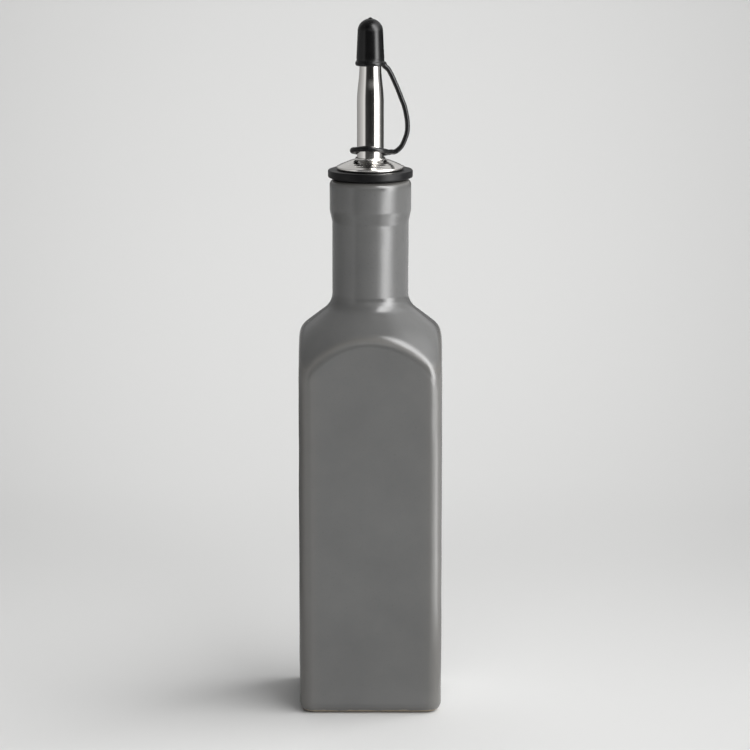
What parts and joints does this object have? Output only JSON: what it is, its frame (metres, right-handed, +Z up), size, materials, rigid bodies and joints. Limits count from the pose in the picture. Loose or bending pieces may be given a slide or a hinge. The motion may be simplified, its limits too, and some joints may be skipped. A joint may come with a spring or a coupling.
{
  "type": "pour spout bottle",
  "caption": "Square ceramic oil bottle with a round neck, a steel pouring spout in a rubber stopper, and a rubber cap held by a strap and ring.",
  "frame": {"origin": "middle of the foot, on the surface that the bottle stands on", "axes": "+Z up along the neck and spout, -Y out of the front face, +X towards the side where the strap bows out"},
  "size_m": [0.062, 0.062, 0.3014],
  "materials": {
    "grey_glaze": "satin",
    "black_rubber": "satin",
    "polished_steel": "polished"
  },
  "bodies": {
    "bottle": {"bottle": "grey_glaze"},
    "stopper": {"stopper": "black_rubber"},
    "spout": {"flange_plate": "polished_steel", "spout_tube": "polished_steel", "air_tube": "polished_steel"},
    "cap": {"cap": "black_rubber", "tether_strap": "black_rubber"},
    "ring": {"tether_ring": "black_rubber"}
  },
  "joints": [
    {"name": "pourer_lift", "type": "slide", "parent": "bottle", "child": "stopper", "axis": [0, 0, 1], "range_m": [0, 0.046]},
    {"name": "spout_turn", "type": "hinge", "parent": "stopper", "child": "spout", "pos_m": [0, 0, 0.236], "axis": [0, 0, 1], "continuous": true},
    {"name": "cap_pull", "type": "slide", "parent": "spout", "child": "cap", "axis": [0, 0, 1], "range_m": [0, 0.02]},
    {"name": "ring_slide", "type": "slide", "parent": "cap", "child": "ring", "axis": [0, 0, 1], "range_m": [0, 0.006], "deforming": ["tether_strap"]}
  ]
}
